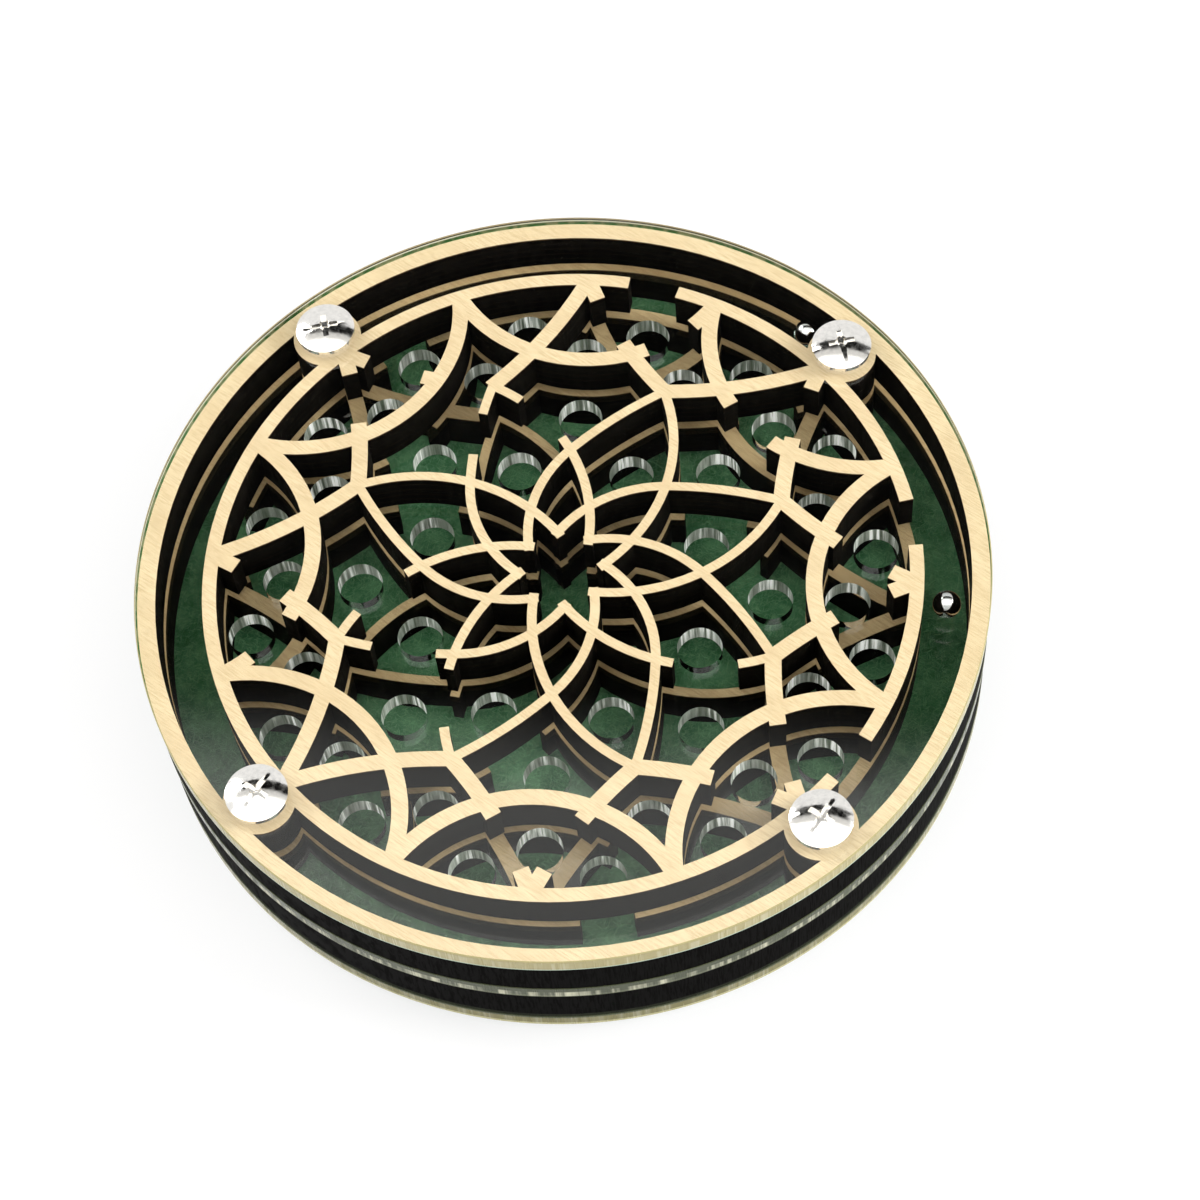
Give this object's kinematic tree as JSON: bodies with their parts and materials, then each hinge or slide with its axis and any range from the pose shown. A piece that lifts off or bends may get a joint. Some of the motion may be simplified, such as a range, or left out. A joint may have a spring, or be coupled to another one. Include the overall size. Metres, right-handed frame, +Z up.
{
  "type": "dexterity puzzle",
  "caption": "Round two-level ball maze: rosette-cut plywood layers between screwed clear discs, with a drilled plate so small steel balls can drop between the levels.",
  "frame": {"origin": "on the axis of the discs, at the underside of the four nut heads that are its feet", "axes": "+Z up along the axis of the discs; +X and +Y lie on two middle lines of the rosette, with a screw midway between them"},
  "size_m": [0.12, 0.12, 0.0252],
  "materials": {
    "base_acrylic": "clear sheet with a greenish cut edge",
    "green_felt": "short fibrous felt",
    "lower_plywood": "laser-cut plywood, dark burnt cut faces",
    "middle_acrylic": "clear sheet, bright drilled holes",
    "upper_plywood": "laser-cut plywood, dark burnt cut faces",
    "cover_acrylic": "clear polished sheet",
    "nickel_nut": "polished nickel plate",
    "nickel_screw": "polished nickel plate",
    "steel_ball": "polished bearing steel"
  },
  "bodies": {
    "case": {"base_plate": "base_acrylic", "felt_lining": "green_felt", "lower_maze": "lower_plywood", "middle_plate": "middle_acrylic", "upper_maze": "upper_plywood", "cover_plate": "cover_acrylic", "nut_1": "nickel_nut", "nut_2": "nickel_nut", "nut_3": "nickel_nut", "nut_4": "nickel_nut", "screw_1": "nickel_screw", "screw_2": "nickel_screw", "screw_3": "nickel_screw", "screw_4": "nickel_screw"},
    "ball_a": {"ball_1": "steel_ball"},
    "ball_b": {"ball_2": "steel_ball"}
  },
  "joints": [
    {"name": "ball_a_channel", "type": "hinge", "parent": "case", "child": "ball_a", "pos_m": [0, 0, 0], "axis": [0, 0, 1], "range_deg": [-1, 73.8]},
    {"name": "ball_b_channel", "type": "hinge", "parent": "case", "child": "ball_b", "pos_m": [0, 0, 0], "axis": [0, 0, 1], "range_deg": [-36.3, 38.1]}
  ]
}
